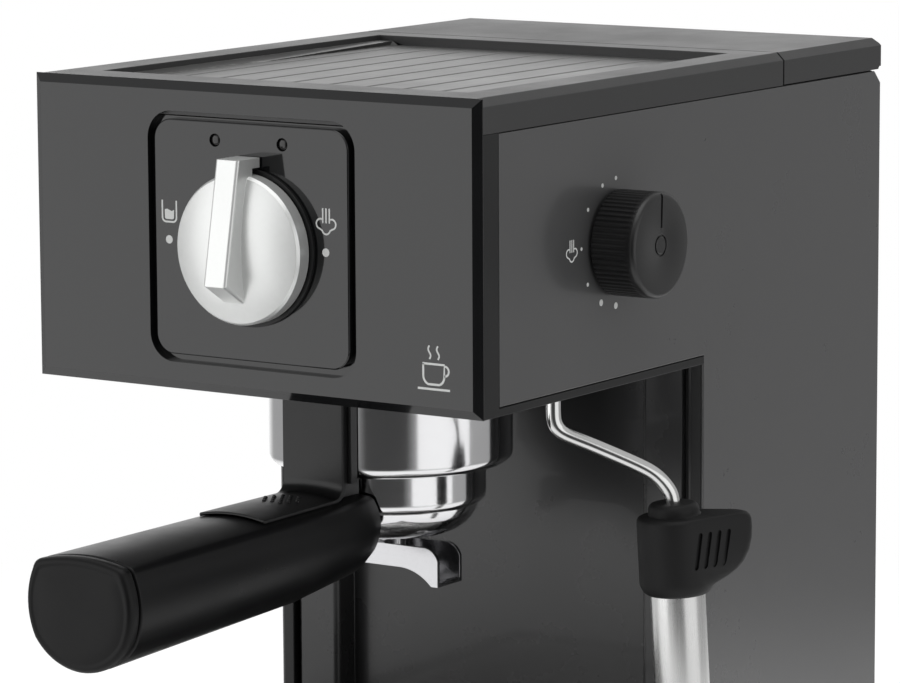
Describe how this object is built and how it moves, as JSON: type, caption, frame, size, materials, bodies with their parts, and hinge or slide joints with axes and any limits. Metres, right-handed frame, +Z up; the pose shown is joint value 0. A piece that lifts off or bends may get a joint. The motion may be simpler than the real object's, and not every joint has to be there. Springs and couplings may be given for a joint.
{
  "type": "espresso machine",
  "caption": "Slim pump espresso machine: ribbed cup tray on top, selector knob, side steam knob with swinging wand, portafilter with open spout, lift-out tank and drip tray.",
  "frame": {"origin": "on the table, under the middle of the whole outline with handle and wand", "axes": "+Z up, -Y out of the front panel, +X to the right as seen by the user"},
  "size_m": [0.2331, 0.378, 0.3],
  "materials": {
    "shell_plastic": "satin",
    "gloss_black": "gloss",
    "dark_steel": "gloss",
    "column_plastic": "satin",
    "tray_steel": "satin",
    "bright_steel": "satin",
    "chrome": "polished",
    "silver_satin": "satin",
    "black_grip": "satin",
    "rubber": "matte",
    "lens": "gloss",
    "inner_plastic": "matte",
    "cast_aluminium": "cast",
    "brass": "turned",
    "coil": "satin",
    "silicone_hose": "matte",
    "clear_tank": "clear",
    "zinc": "plated"
  },
  "bodies": {
    "machine": {"side_frame_right": "shell_plastic", "side_frame_left": "shell_plastic", "side_panel_right": "dark_steel", "side_panel_left": "dark_steel", "front_panel": "gloss_black", "control_plate": "gloss_black", "indicator_lenses": "lens", "top_frame": "shell_plastic", "cup_tray": "tray_steel", "head_floor": "shell_plastic", "column_front": "column_plastic", "rear_cover": "shell_plastic", "rear_screws": "zinc", "cord_gland": "rubber", "base_housing": "shell_plastic", "base_plate": "shell_plastic", "feet": "rubber", "knob_ring": "black_grip", "selector_switch": "inner_plastic", "steam_valve": "brass", "boiler_lower": "cast_aluminium", "boiler_upper": "cast_aluminium", "boiler_gasket": "rubber", "boiler_bolts": "zinc", "heating_element": "bright_steel", "thermostats": "inner_plastic", "group_collar": "chrome", "group_head": "cast_aluminium", "group_gasket": "rubber", "shower_screen": "bright_steel", "shower_screw": "bright_steel", "pump_body": "inner_plastic", "pump_coil": "coil", "pump_mount": "rubber", "pressure_hose": "silicone_hose", "suction_hose": "silicone_hose", "steam_pipe": "brass", "terminal_block": "inner_plastic", "tank_well": "shell_plastic", "wand_socket": "inner_plastic"},
    "selector": {"selector_knob": "silver_satin", "selector_shaft": "bright_steel"},
    "steam_tap": {"steam_knob": "black_grip", "steam_stem": "brass"},
    "wand": {"wand_tube": "bright_steel"},
    "frother": {"wand_grip": "black_grip", "wand_sleeve": "bright_steel"},
    "portafilter": {"portafilter_bowl": "chrome", "filter_basket": "bright_steel", "spout": "chrome", "handle": "black_grip", "handle_cap": "black_grip", "handle_bolt": "zinc", "finger_guard": "black_grip"},
    "drip_drawer": {"drip_tray": "gloss_black"},
    "grid": {"drip_grid": "bright_steel"},
    "tank": {"water_tank": "clear_tank", "tank_valve": "inner_plastic", "lid_pins": "bright_steel"},
    "lid": {"tank_lid": "shell_plastic"}
  },
  "joints": [
    {"name": "selector_turn", "type": "hinge", "parent": "machine", "child": "selector", "pos_m": [-0.02341, -0.092, 0.245], "axis": [0, -1, 0], "range_deg": [-90, 90]},
    {"name": "steam_turn", "type": "hinge", "parent": "machine", "child": "steam_tap", "pos_m": [0.06959, -0.008, 0.244], "axis": [1, 0, 0], "range_deg": [0, 180]},
    {"name": "wand_swing", "type": "hinge", "parent": "machine", "child": "wand", "pos_m": [0.06209, -0.036, 0.2017], "axis": [0, 0, 1], "range_deg": [-100, 20]},
    {"name": "frother_pull", "type": "slide", "parent": "wand", "child": "frother", "axis": [0.0414, 0.032, -0.9986], "range_m": [0, 0.055]},
    {"name": "portafilter_turn", "type": "hinge", "parent": "machine", "child": "portafilter", "pos_m": [-0.02341, -0.0095, 0.16], "axis": [0, 0, 1], "range_deg": [-50, 5]},
    {"name": "tray_slide", "type": "slide", "parent": "machine", "child": "drip_drawer", "axis": [0, -1, 0], "range_m": [0, 0.13]},
    {"name": "grid_lift", "type": "slide", "parent": "drip_drawer", "child": "grid", "axis": [0, 0, 1], "range_m": [0, 0.03]},
    {"name": "tank_lift", "type": "slide", "parent": "machine", "child": "tank", "axis": [0, 0, 1], "range_m": [0, 0.22]},
    {"name": "lid_turn", "type": "hinge", "parent": "tank", "child": "lid", "pos_m": [-0.02341, 0.1795, 0.288], "axis": [-1, 0, 0], "range_deg": [0, 95]}
  ]
}
